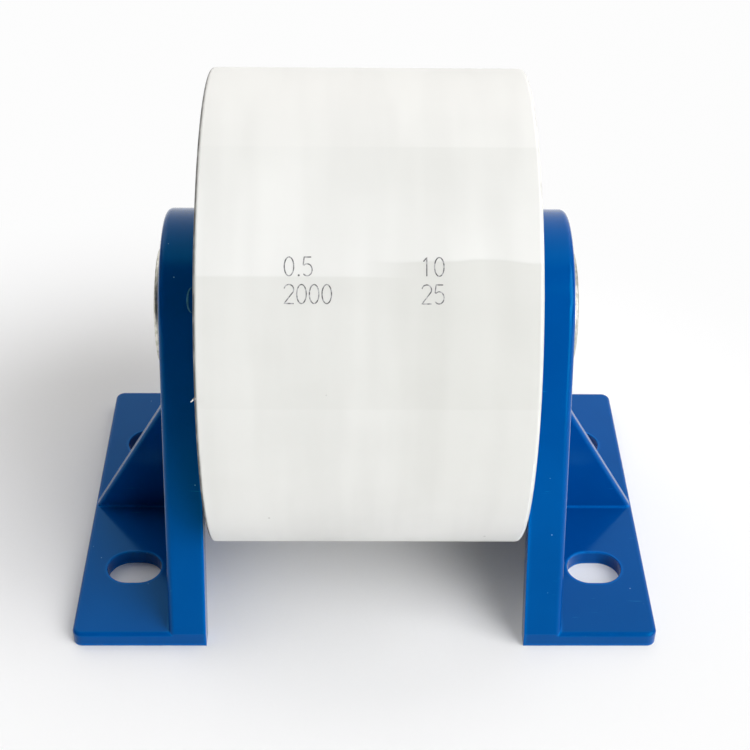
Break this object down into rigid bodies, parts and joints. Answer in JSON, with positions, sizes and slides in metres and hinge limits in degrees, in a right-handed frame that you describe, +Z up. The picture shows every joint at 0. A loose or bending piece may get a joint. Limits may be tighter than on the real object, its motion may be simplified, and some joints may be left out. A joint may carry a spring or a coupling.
{
  "type": "film capacitor",
  "caption": "Wound film capacitor: a tape-wrapped cylinder lying between two moulded L-brackets with slotted feet, with a threaded terminal in each bracket head.",
  "frame": {"origin": "on the mounting surface, midway between the brackets and midway front to back", "axes": "+X along the winding axis towards the right bracket, +Z up from the mounting surface"},
  "size_m": [0.083, 0.066, 0.0725],
  "materials": {
    "core_plastic": "moulded, semi-matte",
    "metallised_film": "wound film, silvery",
    "zinc_spray": "rough sprayed metal",
    "terminal_metal": "tinned, dull bright",
    "seal_resin": "cast epoxy resin",
    "white_tape": "polyester tape, satin",
    "blue_plastic": "glossy moulded plastic"
  },
  "bodies": {
    "root": {"winding_core": "core_plastic", "film_winding": "metallised_film", "zinc_end_left": "zinc_spray", "zinc_end_right": "zinc_spray", "terminal_left": "terminal_metal", "terminal_right": "terminal_metal", "end_seal_left": "seal_resin", "end_seal_right": "seal_resin", "tape_wrap": "white_tape", "bracket_left": "blue_plastic", "bracket_right": "blue_plastic"}
  },
  "joints": []
}
